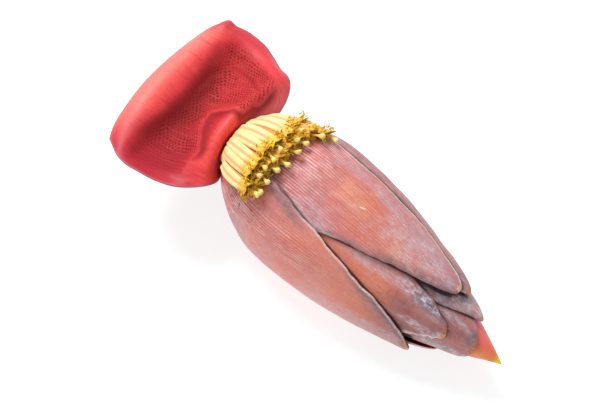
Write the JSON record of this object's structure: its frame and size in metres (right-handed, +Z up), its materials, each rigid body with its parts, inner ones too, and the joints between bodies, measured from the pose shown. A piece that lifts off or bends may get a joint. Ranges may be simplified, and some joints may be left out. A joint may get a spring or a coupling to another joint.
{
  "type": "banana blossom",
  "caption": "Cut banana blossom lying on its side: a pointed bud of overlapping mauve bracts, a crimson bract bent back over the stem and a hand of cream flowers.",
  "frame": {"origin": "bottom centre of the bounding box, on the surface it lies on", "axes": "+Z up, +X towards the tip of the bud, +Y to its far side; the axis of the bud slopes 5.2 degrees nose down"},
  "size_m": [0.3404, 0.1454, 0.1165],
  "materials": {
    "coral": "smooth waxy bract skin, coral turning yellow at the point",
    "stem_green": "matt fibrous stem, cut across",
    "crimson": "satin inner face of a bract, ribbed and pitted",
    "cream": "satin fleshy petals",
    "mauve_bract_core_left": "matt leathery bract with a waxy bloom",
    "mauve_bract_core_right": "matt leathery bract with a waxy bloom",
    "mauve_bract_core_back": "matt leathery bract with a waxy bloom",
    "mauve_bract_low": "matt leathery bract with a waxy bloom",
    "mauve_bract_middle": "matt leathery bract with a waxy bloom",
    "mauve_bract_far": "matt leathery bract with a waxy bloom",
    "mauve_bract_upper": "matt leathery bract with a waxy bloom",
    "mauve_bract_near": "matt leathery bract with a waxy bloom"
  },
  "bodies": {
    "root": {"heart": "coral", "rachis": "stem_green", "bract_core_left": "mauve_bract_core_left", "bract_core_right": "mauve_bract_core_right", "bract_core_back": "mauve_bract_core_back", "bract_low": "mauve_bract_low", "bract_middle": "mauve_bract_middle", "bract_far": "mauve_bract_far", "bract_upper": "mauve_bract_upper", "bract_near": "mauve_bract_near", "bract_open": "crimson", "flower_hand": "cream"}
  },
  "joints": []
}
